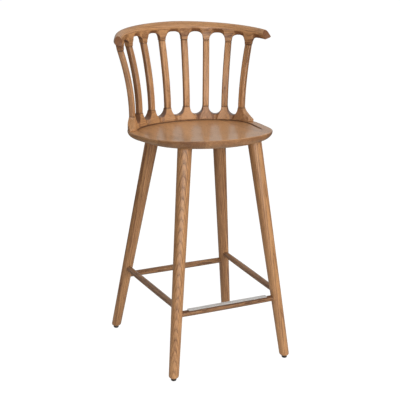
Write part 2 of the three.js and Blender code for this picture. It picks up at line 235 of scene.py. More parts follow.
def loft_mesh(name, rings, grain, start=None, end=None):
    """Closed skin through rings of equal length. grain holds each point's place in the timber."""
    rings = np.asarray(rings, float)
    grain = np.asarray(grain, float)
    count, n, _ = rings.shape
    start = rings[0].mean(0) if start is None else start
    end = rings[-1].mean(0) if end is None else end
    verts = np.vstack([rings.reshape(-1, 3), [start, end]])
    wood = np.vstack([grain.reshape(-1, 3), [grain[0].mean(0), grain[-1].mean(0)]])
    faces = []
    for r in range(count - 1):
        for i in range(n):
            a, b = r * n + i, r * n + (i + 1) % n
            faces.append((a, b, b + n, a + n))
    last, first_cap, last_cap = (count - 1) * n, count * n, count * n + 1
    for i in range(n):
        j = (i + 1) % n
        faces.append((first_cap, j, i))
        faces.append((last_cap, last + i, last + j))
    return make_mesh(name, verts, faces, wood)


def make_mesh(name, verts, faces, wood=None):
    mesh = bpy.data.meshes.new(name)
    placed = np.asarray(verts, float) + (0, MOVE_Y, 0)
    mesh.from_pydata((placed * MM).tolist(), [], faces)
    bm = bmesh.new()
    bm.from_mesh(mesh)
    bmesh.ops.recalc_face_normals(bm, faces=bm.faces)
    bm.to_mesh(mesh)
    bm.free()
    mesh.shade_smooth()
    piece = bpy.data.objects.new(name, mesh)
    bpy.context.scene.collection.objects.link(piece)
    if wood is not None:
        store(piece, "grain", np.asarray(wood))
    return piece


def store(piece, name, values):
    """Saves one value or vector per point for the material to read."""
    values = np.asarray(values, float)
    kind, key = ("FLOAT_VECTOR", "vector") if values.ndim == 2 else ("FLOAT", "value")
    layer = piece.data.attributes.new(name, kind, "POINT")
    layer.data.foreach_set(key, values.ravel())


def normals_of(piece):
    return np.array([v.normal[:] for v in piece.data.vertices])


def points_of(piece):
    """The piece's points in millimetres, in the frame the shapes are worked out in."""
    flat = np.empty(len(piece.data.vertices) * 3)
    piece.data.vertices.foreach_get("co", flat)
    return flat.reshape(-1, 3) / MM - (0, MOVE_Y, 0)


def evaluated(piece):
    """Bakes the piece's modifiers into its mesh."""
    bpy.context.view_layer.update()
    depsgraph = bpy.context.evaluated_depsgraph_get()
    mesh = bpy.data.meshes.new_from_object(piece.evaluated_get(depsgraph))
    piece.modifiers.clear()
    piece.data = mesh


def soften(piece, voxel, rounds, keep=None):
    """Even fine mesh with its edges rounded, as hand sanding leaves them. keep(points) gives how
    far each point is left as it was sawn, from 0 to 1."""
    mod = piece.modifiers.new("even", "REMESH")
    mod.mode = "VOXEL"
    mod.voxel_size = voxel * MM
    evaluated(piece)
    mod = piece.modifiers.new("sand", "SMOOTH")
    mod.factor = 0.5
    mod.iterations = rounds
    if keep:
        group = piece.vertex_groups.new(name="sanded")
        for index, weight in enumerate(1 - keep(points_of(piece))):
            group.add([index], float(weight), "REPLACE")
        mod.vertex_group = "sanded"
    evaluated(piece)
    piece.data.shade_smooth()


def finish_piece(piece, material, slot, *nodes):
    piece.data.materials.clear()
    piece.data.materials.append(material)
    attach(piece, "root")
    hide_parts(*nodes)
    return piece


def crisp(piece, degrees=40):
    piece.data.set_sharp_from_angle(angle=math.radians(degrees))
    mod = piece.modifiers.new("shade", "WEIGHTED_NORMAL")
    mod.keep_sharp = True
    mod.weight = 60


# ---- materials ----
GOLDEN, BROWN = (0.56, 0.288, 0.124), (0.20, 0.084, 0.034)
PALE = (0.64, 0.332, 0.143)
DULL, DARK = (0.37, 0.185, 0.08), (0.12, 0.052, 0.022)
RING_PROFILE = [(0.0, 0.95), (0.14, 0.55), (0.42, 0.14), (0.78, 0.0), (0.96, 0.3), (1.0, 0.95)]
RING_WAVER = 1.6
PORE_EDGE = 0.595                # noise level above which a pore opens, away from a ring's start
PORE_STAIN = 0.8
# dark glue lines, and the painted shade in the seat dish's corner
JOINT_STAIN_AND_CORNER_SHADE = 0.7
BOARD_SHIFT = (900, 60, 40)      # greatest shift along and across the log from board to board
BOARD_TONE = 0.18


class Nodes:
    """Short way to build the node tree of a material or of the world."""

    def __init__(self, owner):
        self.owner = owner
        owner.use_nodes = True
        self.tree = owner.node_tree
        self.tree.nodes.clear()

    def add(self, kind, **settings):
        node = self.tree.nodes.new(kind)
        for key, value in settings.items():
            setattr(node, key, value)
        return node

    def link(self, source, target):
        if hasattr(source, "links"):
            self.tree.links.new(source, target)
        else:
            target.default_value = source

    def math(self, operation, a, b=0.0, c=None, clamp=False):
        node = self.add("ShaderNodeMath", operation=operation, use_clamp=clamp)
        for value, socket in zip((a, b, c), node.inputs):
            if value is not None:
                self.link(value, socket)
        return node.outputs[0]

    def mix(self, factor, a, b):
        node = self.add("ShaderNodeMix", data_type="RGBA")
        self.link(factor, node.inputs["Factor"])
        self.link(a, node.inputs[6])
        self.link(b, node.inputs[7])
        return node.outputs[2]

    def noise(self, vector, scale, detail=3.0, roughness=0.55):
        node = self.add("ShaderNodeTexNoise")
        self.link(vector, node.inputs["Vector"])
        node.inputs["Scale"].default_value = scale
        node.inputs["Detail"].default_value = detail
        node.inputs["Roughness"].default_value = roughness
        return node.outputs["Fac"]

    def streaks(self, place, along, across, detail=3.0, roughness=0.55):
        """Noise drawn out along the timber. along and across are its fineness per millimetre."""
        node = self.add("ShaderNodeVectorMath", operation="MULTIPLY")
        self.link(place, node.inputs[0])
        node.inputs[1].default_value = (along, across, across)
        return self.noise(node.outputs[0], 1.0, detail, roughness)

    def split(self, vector):
        node = self.add("ShaderNodeSeparateXYZ")
        self.link(vector, node.inputs[0])
        return node.outputs

    def attribute(self, name, output="Fac"):
        return self.add("ShaderNodeAttribute", attribute_name=name).outputs[output]

    def map_range(self, value, before, after=(0.0, 1.0), curve="LINEAR"):
        node = self.add("ShaderNodeMapRange", interpolation_type=curve)
        self.link(value, node.inputs["Value"])
        for name, limit in zip(("From Min", "From Max", "To Min", "To Max"), before + after):
            node.inputs[name].default_value = limit
        return node.outputs[0]

    def ramp(self, value, stops):
        node = self.add("ShaderNodeValToRGB")
        self.link(value, node.inputs[0])
        elements = node.color_ramp.elements
        for _ in stops[2:]:
            elements.new(0.5)
        for element, (place, colour) in zip(elements, stops):
            element.position = place
            element.color = (*colour, 1)
        return node.outputs[0]

    def shader(self, colour, roughness, height=None, bump=0.2, distance=0.0003, **fixed):
        node = self.add("ShaderNodeBsdfPrincipled")
        self.link(colour, node.inputs["Base Color"])
        self.link(roughness, node.inputs["Roughness"])
        for key, value in fixed.items():
            node.inputs[key.replace("_", " ")].default_value = value
        if height is not None:
            relief = self.add("ShaderNodeBump")
            relief.inputs["Strength"].default_value = bump
            relief.inputs["Distance"].default_value = distance
            self.link(height, relief.inputs["Height"])
            self.link(relief.outputs[0], node.inputs["Normal"])
        out = self.add("ShaderNodeOutputMaterial")
        self.link(node.outputs[0], out.inputs[0])
        return self.owner


def scaled(colour, *factors):
    """The colour as red, green, blue and alpha, each of the three times its factor."""
    if len(factors) == 1:
        factors = factors * 3
    return (*[c * factor for c, factor in zip(colour, factors)], 1)


def boards(n, place, tone, width):
    """Cuts the timber into boards of one width, each from another log and with its own tone."""
    index = n.math("FLOOR", n.math("DIVIDE", n.split(place)[1], width))
    log = n.add("ShaderNodeTexWhiteNoise", noise_dimensions="1D")
    n.link(index, log.inputs["W"])
    shift = n.add("ShaderNodeVectorMath", operation="MULTIPLY_ADD")
    n.link(log.outputs["Color"], shift.inputs[0])
    shift.inputs[1].default_value = BOARD_SHIFT
    n.link(place, shift.inputs[2])
    board_tone = n.math("MULTIPLY_ADD", log.outputs["Value"], 2 * BOARD_TONE, -BOARD_TONE)
    return shift.outputs[0], n.math("ADD", tone, board_tone)


def growth_rings(n, place, width, sway):
    """1 where a ring begins, falling to 0 in its late wood. sway is how far the rings wander."""
    bend = n.streaks(place, 0.006, 0.02)
    waver = n.streaks(place, 0.03, 0.25, 2.0)
    _, y, z = n.split(place)
    across = n.math("SQRT", n.math("ADD", n.math("POWER", y, 2.0), n.math("POWER", z, 2.0)))
    across = n.math("ADD", across, n.math("MULTIPLY", bend, sway))
    across = n.math("ADD", across, n.math("MULTIPLY", waver, RING_WAVER))
    phase = n.math("FRACT", n.math("DIVIDE", across, width))
    return n.ramp(phase, [(at, (value,) * 3) for at, value in RING_PROFILE])


def wood(name, light, dark, ring, contrast, sway=12.0, board=0.0, polish=0.24):
    """Stained open-pored hardwood under a satin lacquer. The "grain" attribute holds millimetres
    along the timber and two distances across it from the heart of the tree."""
    n = Nodes(bpy.data.materials.new(name))
    place, tone, joint = n.attribute("grain", "Vector"), n.attribute("tone"), n.attribute("joint")
    if board:
        place, tone = boards(n, place, tone, board)
    rings = growth_rings(n, place, ring, sway)

    # pores: short dark dashes, crowded where each ring begins
    dashes = n.streaks(place, 0.13, 1.3, 3.0, 0.7)
    edge = n.math("MULTIPLY_ADD", rings, -0.10, PORE_EDGE)
    pores = n.math("MULTIPLY", n.math("SUBTRACT", dashes, edge), 9.0, clamp=True)

    fibre = n.streaks(place, 0.014, 0.42, 5.0, 0.72)
    cloud = n.streaks(place, 0.004, 0.03, 2.0)
    shade = n.math("MULTIPLY", rings, 0.42 * contrast)
    shade = n.math("ADD", shade, n.math("MULTIPLY", n.math("SUBTRACT", fibre, 0.43), 1.9 * contrast))
    shade = n.math("ADD", shade, n.math("MULTIPLY", n.math("SUBTRACT", cloud, 0.5), 0.9))
    shade = n.math("SUBTRACT", shade, tone, clamp=True)

    hue = n.streaks(place, 0.012, 0.09)
    warm = n.mix(hue, scaled(light, 0.94, 0.90, 0.92), scaled(light, 1.06, 1.10, 1.04))
    colour = n.mix(shade, warm, scaled(dark, 1))
    colour = n.mix(n.math("MULTIPLY", pores, PORE_STAIN), colour, scaled(dark, 0.35))
    # dark glue lines at the joints, and painted shade in the seat dish's corner
    colour = n.mix(n.math("MULTIPLY", joint, JOINT_STAIN_AND_CORNER_SHADE), colour, scaled(dark, 0.18))

    rough = n.math("MULTIPLY_ADD", fibre, 0.18, 0.36)
    rough = n.math("MULTIPLY_ADD", pores, 0.2, rough)
    height = n.math("MULTIPLY", pores, -1.0)
    height = n.math("ADD", height, n.math("MULTIPLY", fibre, 0.35))
    height = n.math("SUBTRACT", height, n.math("MULTIPLY", rings, 0.2))
    return n.shader(colour, rough, height, 0.22, 0.00025,
                    Coat_Weight=0.55, Coat_Roughness=polish, Coat_IOR=1.5, IOR=1.45)


def steel(name):
    """Brushed stainless steel: long fine scratches along the grain direction."""
    n = Nodes(bpy.data.materials.new(name))
    place = n.attribute("grain", "Vector")
    brush = n.streaks(place, 0.05, 9.0, 4.0, 0.7)
    smear = n.streaks(place, 0.02, 0.2, 2.0)
    colour = n.ramp(brush, [(0.3, (0.78, 0.77, 0.75)), (0.75, (0.9, 0.89, 0.87))])
    rough = n.math("MULTIPLY_ADD", smear, 0.2, n.math("MULTIPLY_ADD", brush, 0.14, 0.2))
    return n.shader(colour, rough, brush, 0.12, 0.0001, Metallic=0.65)


def plastic(name):
    """Dark glide: moulded plastic with a fine grained skin and grey scuffs where it rubs."""
    n = Nodes(bpy.data.materials.new(name))
    place = n.attribute("grain", "Vector")
    skin = n.noise(place, 3.0)
    scuff = n.noise(place, 0.5, 4.0, 0.7)
    colour = n.ramp(scuff, [(0.45, (0.020, 0.015, 0.012)), (0.75, (0.085, 0.07, 0.06))])
    rough = n.math("MULTIPLY_ADD", scuff, 0.25, 0.42)
    return n.shader(colour, rough, skin, 0.15, 0.0002)


# ---- seat ----
def seat_top(y):
    return SEAT_Z + SEAT_SLOPE * y + SEAT_CURVE * y * y


def seat_bottom(y):
    return SEAT_Z - SEAT_THICK + SEAT_SLOPE * y


def outline(harmonics, theta):
    return sum(value * math.cos(k * theta) for k, value in enumerate(harmonics))


def seat_ring(radius, height):
    """Ring of points round the seat. radius goes by direction, height by y."""
    out = []
    for theta in circle(SEAT_SIDES):
        r = radius(theta)
        x, y = r * math.sin(theta), -r * math.cos(theta)
        out.append((x, y, height(y)))
    return out


def seat_edge(theta):
    return outline(SEAT_HARMONICS, theta)


def dish_edge(theta):
    return outline(DISH_HARMONICS, theta)


def dish_depth(y):
    return DISH_DEPTH * smoothstep(y, *DISH_FADE)


def dish_rings():
    """Floor and corner of the dish, from the middle out, and the painted shade on each ring."""
    rings, corner_painted_shade = [], []
    for k in np.linspace(0.05, 0.955, 22):
        rings.append(seat_ring(lambda t: dish_edge(t) * k, lambda y: seat_top(y) - dish_depth(y)))
        corner_painted_shade.append(0)
    for inset, part, dark in DISH_CORNER:
        rings.append(seat_ring(lambda t: dish_edge(t) - inset,
                               lambda y: seat_top(y) - dish_depth(y) * part))
        corner_painted_shade.append(dark)
    return rings, corner_painted_shade


def edge_rings():
    """Rim of the dish, rounded edge, undercut and underside."""
    across, down = SEAT_ROUND
    rings = []
    for k in (0.25, 0.5, 0.75):
        rings.append(seat_ring(lambda t: lerp(dish_edge(t) + 2, seat_edge(t) - 4, k), seat_top))
    for turn in np.radians(np.linspace(0, 90, 7)):
        inset, drop = across * (1 - math.sin(turn)), down * (1 - math.cos(turn))
        rings.append(seat_ring(lambda t: seat_edge(t) - inset, lambda y: seat_top(y) - drop))
    for turn in np.radians(np.linspace(6, 90, 16)):
        inset, part = SEAT_UNDERCUT * (1 - math.cos(turn)), math.sin(turn)
        rings.append(seat_ring(lambda t: seat_edge(t) - inset,
                               lambda y: lerp(seat_top(y) - down, seat_bottom(y), part)))
    for k in np.linspace(0.95, 0.05, 12):
        rings.append(seat_ring(lambda t: (seat_edge(t) - SEAT_UNDERCUT) * k, seat_bottom))
    return rings


def make_seat(material):
    rings, corner_painted_shade = dish_rings()
    rings = np.array(rings + edge_rings())
    corner_painted_shade = np.array(corner_painted_shade + [0] * (len(rings) - len(corner_painted_shade)))
    aside, below = SEAT_HEART
    grain = np.stack([rings[..., 1], rings[..., 0] + aside, rings[..., 2] - SEAT_Z + below], -1)
    middle = (0, 0, seat_top(0) - dish_depth(0))
    seat = loft_mesh("seat_top", rings, grain, middle, (0, 0, seat_bottom(0)))
    facing = np.abs(normals_of(seat))
    upright = np.clip(1.5 * np.hypot(facing[:, 0], facing[:, 1]), 0, 1)
    end_grain = upright * (0.2 + 0.8 * facing[:, 1])
    store(seat, "tone", SEAT_TONE - END_GRAIN_SHADE * end_grain)
    deep = np.array([dish_depth(y) / DISH_DEPTH for y in rings[..., 1].ravel()])
    # painted shade in the dish's step and corner, stored in the joint attribute
    corner = deep.reshape(rings.shape[:2]) ** 0.5 * corner_painted_shade[:, None]
    store(seat, "joint", np.append(corner.ravel(), [0, 0]))
    crisp(seat, 50)
    return finish_piece(seat, material, "stained_wood", "seat")


# ---- scalloped pieces ----
SCALLOP_STEPS = np.sin(np.linspace(-math.pi / 2, math.pi / 2, 41))[1:-1]


def scallops(ellipse, joints, joint_z, scoop_z, power):
    """Plan angle and height of the scalloped edge, joint by joint."""
    half = [SPINDLE_WIDE / 2 / stride(ellipse, v) for v in joints]
    stations = []
    for i, angle in enumerate(joints):
        for k in np.linspace(-1, 1, 7):
            stations.append((angle + half[i] * k, joint_z(angle)))
        if i + 1 == len(joints):
            break
        begin, end = angle + half[i], joints[i + 1] - half[i + 1]
        middle = (begin + end) / 2
        for t in SCALLOP_STEPS:
            joint = joint_z(angle if t < 0 else joints[i + 1])
            rise = (1 - abs(t) ** power) ** (1 / power)
            stations.append((middle + t * (end - begin) / 2,
                             joint + (scoop_z(middle) - joint) * rise))
    return stations


def both_ends(stations, tail):
    """The stations with the tail after them and its mirror image before them."""
    return [(-angle, z) for angle, z in reversed(tail)] + stations + tail


def arc_grain(points, ellipse, heart):
    """Timber coordinates for a piece that runs round the curved back."""
    a, b, y = ellipse
    mean = (a + b) / 2
    radius = np.hypot(points[:, 0] / a, (points[:, 1] - y) / b) * mean
    along = plan_turn(points, ellipse) * mean
    return np.stack([along, radius - mean + heart[0], points[:, 2] + heart[1]], 1)


def sloping_grain(grain, block):
    """Every stub of the base is its own block of timber; turn the fibres by the block's slope."""
    slope = np.radians(np.array(BASE_SLOPES)[block])
    along = grain[:, 0] * np.cos(slope) + grain[:, 2] * np.sin(slope) + 700 * block
    rise = grain[:, 2] * np.cos(slope) - grain[:, 0] * np.sin(slope)
    return np.stack([along, grain[:, 1], rise], 1)


def room_to_edge(angle):
    """Distance from the spindle line out to just inside the seat's edge."""
    room = BASE_FOOT + 3
    while True:
        x, y = on_ellipse(LOWER, angle, room)
        if math.hypot(x, y) <= outline(SEAT_HARMONICS, math.atan2(x, -y)) - 0.8:
            return room
        room -= 0.1


def base_recess(angle, z):
    """How far the inner face is cut back beside the stubs, whose front faces widen downward."""
    joint = min(LOWER_ANGLES, key=lambda v: abs(abs(angle) - v))
    step = stride(LOWER, angle)
    aside = abs(abs(angle) - joint) * step
    face = SPINDLE_WIDE / 2 + (BASE_JOINT_Z - z) * BASE_FLARE
    slope, deepest = BASE_RECESS
    recess = min(deepest, max(0.0, aside - face) * slope)
    return recess + max(0.0, BASE_END_ROUND - (BASE_END - abs(angle)) * step)


def base_ring(angle, top):
    """Section of the base: wide on the seat, narrowing up to the spindle."""
    foot = seat_top(on_ellipse(LOWER, angle)[1])
    outer = min(BASE_FOOT, room_to_edge(angle))

    def half(z):
        return BASE_FOOT + (BASE_HEAD - BASE_FOOT) * (z - foot) / (BASE_JOINT_Z - foot)

    def at(offset, z):
        return (*on_ellipse(LOWER, angle, offset), z)

    def resting(offset):
        x, y = on_ellipse(LOWER, angle, offset)
        return (x, y, seat_top(y) + GAP)

    ring = [resting(base_recess(angle, foot) - BASE_FOOT)]
    for t in (0.2, 0.4, 0.6, 0.8, 1.0):
        z = lerp(foot, top, t)
        ring.append(at(base_recess(angle, z) - half(z), z))
    for t in (1.0, 0.5):
        z = lerp(foot, top, t)
        ring.append(at(min(half(z), outer), z))
    return ring + [resting(outer), resting(0)]


def base_stations(joints):
    """Plan angle and top height along the base, with both ends running down to the seat."""
    stations = scallops(LOWER, joints, lambda a: BASE_JOINT_Z, lambda a: BASE_VALLEY_Z, 2.1)
    last = stations[-1][0]
    tail = []
    for t in np.linspace(0, 1, 26)[1:] ** 2:
        fall = (BASE_JOINT_Z - BASE_END_Z) * t ** BASE_END_FALL
        tail.append((lerp(last, BASE_END, t), BASE_JOINT_Z - fall))
    return both_ends(stations, tail)


def base_tones(base, turn, block):
    """Stain of each block, with painted shade on the facets beside the stubs and in the hollows."""
    a, b, _ = LOWER
    facing = normals_of(base)
    run = np.stack([a * np.cos(turn), -b * np.sin(turn)], 1)
    aside = np.abs((facing[:, :2] * run).sum(1)) / np.hypot(*run.T)
    # painted shade: faces turned aside beside the stubs and upward faces in the hollows
    facet_painted_shade, hollow_painted_shade = ramp(aside, 0.15, 0.5), ramp(facing[:, 2], 0.3, 0.7)
    between = np.abs(turn) < math.radians(BASE_SHADED)
    return np.array(BASE_TONES)[block] - between * (FACET_PAINTED_SHADE * facet_painted_shade + HOLLOW_PAINTED_SHADE * hollow_painted_shade)


def make_base(material):
    joints = mirrored(LOWER_ANGLES)
    rings = np.array([base_ring(angle, z) for angle, z in base_stations(joints)])
    base = loft_mesh("back_base_curve", rings, rings)
    centres = [(*on_ellipse(LOWER, a), BASE_JOINT_Z) for a in joints]
    soften(base, 1.0, 6, lambda points: near_joints(points, centres, 2.5) * 0.9)
    points = points_of(base)
    turn = plan_turn(points, LOWER)
    block = np.abs(np.degrees(turn)[:, None] - joints).argmin(1)
    store(base, "grain", sloping_grain(arc_grain(points, LOWER, BASE_HEART), block))
    store(base, "tone", base_tones(base, turn, block))
    store(base, "joint", near_joints(points, centres))
    return finish_piece(base, material, "stained_wood", "back_base")


def near_joints(points, centres, reach=0.8):
    """1 on the thin glue lines round the spindle joints, 0 elsewhere."""
    near = np.zeros(len(points))
    for centre in centres:
        away = np.abs(points - centre)
        close = (away[:, 0] < 16) & (away[:, 1] < 16)
        near = np.maximum(near, close * np.clip(1.6 - away[:, 2] / reach, 0, 1))
    return near


# ---- crest rail ----
def crest_top(angle):
    return CREST_Z - CREST_DROP * (abs(angle) / CREST_HALF) ** CREST_FALL


def end_cut(z):
    """How far forward the rail reaches: square below, sloping back above."""
    return CREST_CUT_Y + CREST_CUT_SLOPE * np.maximum(0.0, z - CREST_CUT_Z)


def end_angle(offset, z):
    """Plan angle at which the end cut meets the given offset and height."""
    low, high = 60.0, 89.0
    cut_y = end_cut(z)
    for _ in range(40):
        middle = (low + high) / 2
        if on_ellipse(UPPER, middle, offset)[1] > cut_y:
            low = middle
        else:
            high = middle
    return low


def crest_ring(angle, bottom):
    """Section of the rail: an inner ridge with a cove cut below it over each arch."""
    top = crest_top(angle)
    at_end = abs(angle) >= CREST_HALF
    drop = top - bottom
    part = (drop - CREST_ARCH) / (CREST_JOINT - CREST_ARCH)
    stub = smoothstep(part, 0.0, 0.4)
    ridge = lerp(*CREST_RIDGE, min(1.0, abs(angle) / CREST_HALF))
    outer, lift = lerp(14, 9, part), lerp(6, 0, part)
    cove = lerp(-1, -6, smoothstep(abs(angle), 70, CREST_HALF))
    section = [(lerp(cove, -9, stub), drop),
               (lerp(-8.8, -9, stub), lerp(ridge + 5, 33, stub)),
               (-11, ridge)]
    section += [(d, min(down, drop - 2)) for d, down in CREST_UPPER]
    section.append((outer, drop - lift))
    ring = []
    for offset, down in fillet(section, CREST_RADII):
        z = top - down
        turn = math.copysign(end_angle(offset, z), angle) if at_end else angle
        ring.append((*on_ellipse(UPPER, turn, offset), z))
    return ring


def crest_stations(joints):
    """Plan angle and underside height along the rail, rising in a quarter arch at both ends."""
    def arch(angle):
        return crest_top(angle) - CREST_ARCH

    stations = scallops(UPPER, joints, lambda a: crest_top(a) - CREST_JOINT, arch, 2.5)
    last_angle, last_z = stations[-1]
    tail = []
    for t in 1 - np.cos(np.linspace(0, math.pi / 2, 24))[1:]:
        angle = last_angle + CREST_ROUND * t
        rise = math.sqrt(max(0.0, 1 - (1 - t) ** 2))
        tail.append((angle, lerp(last_z, arch(angle) + 1, rise)))
    for t in np.linspace(0, 1, 10)[1:]:
        angle = lerp(last_angle + CREST_ROUND, CREST_HALF - 3, t)
        tail.append((angle, arch(angle) + 1 + 2 * t))
    tail.append((CREST_HALF + 1, arch(CREST_HALF) + 3))
    return both_ends(stations, tail)


def to_cut(points):
    """Distance of every point behind the rail's end cuts."""
    return points[:, 1] - end_cut(points[:, 2])


def crest_tones(crest, points):
    """Tone of the rail: painted shade in the coves and low on its right half, darker on the stubs, and
    stained deeper on the sawn ends.
    """
    facing = normals_of(crest)
    # painted shade on the faces that point down, in the coves
    cove_painted_shade = ramp(-facing[:, 2], 0.3, 0.65)
    cut = (1 - ramp(to_cut(points), 6, 8)) * ramp(-facing[:, 1], 0.4, 0.6)
    turn = np.degrees(plan_turn(points, UPPER))
    down = crest_top(turn) - points[:, 2]
    stub = ramp(down, 33, 41) * np.where(np.abs(turn) > OUTER_STUBS, *STUB_SHADES)
    # painted shade on the lower part of the rail's right half
    right = RIGHT_PAINTED_SHADE * ramp(turn, 5, 30) * ramp(down, 19, 22)
    return CREST_TONE - COVE_PAINTED_SHADE * cove_painted_shade - np.maximum(stub, right) - CUT_SHADE * cut


def make_crest(material):
    joints = mirrored(UPPER_ANGLES)
    rings = np.array([crest_ring(angle, z) for angle, z in crest_stations(joints)])
    crest = loft_mesh("crest_rail_curve", rings, rings)
    centres = [(*on_ellipse(UPPER, a), crest_top(a) - CREST_JOINT) for a in joints]

    def keep(points):
        ends = (1 - ramp(to_cut(points), 3, 8)) * 0.6
        return np.maximum(ends, near_joints(points, centres, 2.5) * 0.9)

    soften(crest, 1.1, 8, keep)
    points = points_of(crest)
    store(crest, "grain", arc_grain(points, UPPER, CREST_HEART))
    store(crest, "tone", crest_tones(crest, points))
    store(crest, "joint", near_joints(points, centres))
    return finish_piece(crest, material, "stained_wood", "crest_rail")


# ---- spindles ----
def spindle_axis(index, t):
    """Centre of the spindle in plan, t of the way up."""
    x0, y0 = on_ellipse(LOWER, mirrored(LOWER_ANGLES)[index])
    x1, y1 = on_ellipse(UPPER, mirrored(UPPER_ANGLES)[index])
    k = t ** SPINDLE_BENDS[min(abs(3 - index), abs(4 - index))]
    return lerp(x0, x1, k), lerp(y0, y1, k)


def spindle_turn(index, t):
    def face(ellipse, angles):
        a, b, _ = ellipse
        angle = math.radians(mirrored(angles)[index])
        return math.atan2(b * math.sin(angle), a * math.cos(angle))
    return lerp(face(LOWER, LOWER_ANGLES), face(UPPER, UPPER_ANGLES), t)


def spindle_section():
    """Outline across a spindle, and how much painted shade each of its points takes on the side faces.
    """
    w, d, c = SPINDLE_WIDE / 2, SPINDLE_DEEP / 2, SPINDLE_CHAMFER
    corners = [(-w, -d + c), (-w + c, -d), (w - c, -d), (w, -d + c),
               (w, d - c), (w - c, d), (-w + c, d), (-w, d - c)]
    section = fillet(corners, [SPINDLE_EASE] * len(corners))
    return section, [SIDE_PAINTED_SHADE * min(1.0, max(0.0, (abs(u) - w + c) / c)) for u, _ in section]


def make_spindle(index, material, dice):
    bottom = BASE_JOINT_Z + GAP
    top = crest_top(mirrored(UPPER_ANGLES)[index]) - CREST_JOINT - GAP
    section, darker = spindle_section()
    heart = (dice.uniform(-40, 40), dice.uniform(45, 80))
    start = dice.uniform(0, 4000)
    high, shrink = SPINDLE_BEVEL
    tip = high / (top - bottom)
    stations = [(0, shrink), (tip, 0)] + [(t, 0) for t in np.linspace(0, 1, 40)[1:-1]]
    stations += [(1 - tip, 0), (1, shrink)]
    rings, grain, joint = [], [], []
    for t, inset in stations:
        x, y = spindle_axis(index, t)
        turn = spindle_turn(index, t)
        z = lerp(bottom, top, t)
        size = 1 - inset / (SPINDLE_WIDE / 2)
        rings.append([(x + (u * math.cos(turn) + v * math.sin(turn)) * size,
                       y + (-u * math.sin(turn) + v * math.cos(turn)) * size, z) for u, v in section])
        grain.append([(z + start, u + heart[0], v + heart[1]) for u, v in section])
        joint += [max(0.0, 1 - min(z - bottom, top - z) / 0.5)] * len(section)
    spindle = loft_mesh(f"back_spindle_{index + 1}", rings, grain)
    # painted shade on the side faces
    darker = np.array(darker * len(stations) + [0, 0])
    store(spindle, "tone", SPINDLE_TONES[index] - darker)
    store(spindle, "joint", np.array(joint + [1, 1]))
    crisp(spindle, 60)
    return finish_piece(spindle, material, "stained_wood", f"spindle_{index + 1}")


# ---- legs, glides and stretchers ----
# which way the heart of the timber lies (degrees), how fast it leans across, and the stain's tone
LEG_GRAIN = {
    ("front", -1): (64, 0.135, 0.02),
    ("front", 1): (100, 0.03, 0.06),
    ("back", -1): (200, -0.02, -0.04),
    ("back", 1): (310, 0.015, -0.14),
}


def leg_axis(leg, side, z):
    x, y, in_x, in_y = LEGS[leg]
    return np.array([side * (x - in_x * z), y + in_y * z, z])


def leg_radius(z):
    return LEG_R0 + LEG_TAPER * z


def hand(side):
    return "left" if side < 0 else "right"


def make_leg(row, side, material, dice):
    facing, lean, tone = LEG_GRAIN[row, side]
    facing = math.radians(facing)
    top = seat_bottom(leg_axis(row, side, LEG_TOP_GUESS)[1]) + LEG_INTO_SEAT
    foot = GLIDE_HIGH + GAP
    stations = [(foot + up, smaller) for up, smaller in LEG_ROUNDING]
    stations += [(z, 0) for z in np.linspace(30, top, 60)]
    dice.random()                # not used, but the draws after it depend on it
    heart = dice.uniform(58, 74)
    start = dice.uniform(0, 6000)
    rings, grain = [], []
    for z, smaller in stations:
        centre = leg_axis(row, side, z)
        r = leg_radius(z) - smaller
        rings.append([centre + (r * math.cos(t), r * math.sin(t), 0) for t in circle(56)])
        grain.append([(z + start, r * math.cos(t - facing) + heart + lean * z,
                       r * math.sin(t - facing)) for t in circle(56)])
    leg = loft_mesh(f"turned_leg_{row}_{hand(side)}", rings, grain)
    store(leg, "tone", np.full(len(leg.data.vertices), tone))
    return finish_piece(leg, material, "stained_wood", f"leg_{row}_{hand(side)}")


def turned(name, centre, profile, sides):
    """Body of revolution on an upright axis. The profile gives radius and height."""
    rings = np.array([[np.array(centre) + (r * math.cos(t), r * math.sin(t), z)
                       for t in circle(sides)] for r, z in profile])
    return loft_mesh(name, rings, rings)


def make_glide(row, side, material):
    x, y, _ = leg_axis(row, side, GLIDE_HIGH)
    glide = turned(f"floor_glide_{row}_{hand(side)}", (x, y, 0), GLIDE_PROFILE, 48)
    return finish_piece(glide, material, "glide_plastic", f"glide_{row}_{hand(side)}")


def under_strip(name, point):
    """The front stretcher has a flat where the strip lies."""
    if name == "front" and abs(point[0]) < STRIP_LONG / 2 + 1:
        point[2] = min(point[2], FRONT_Z + STRIP_SEAT)
    return point


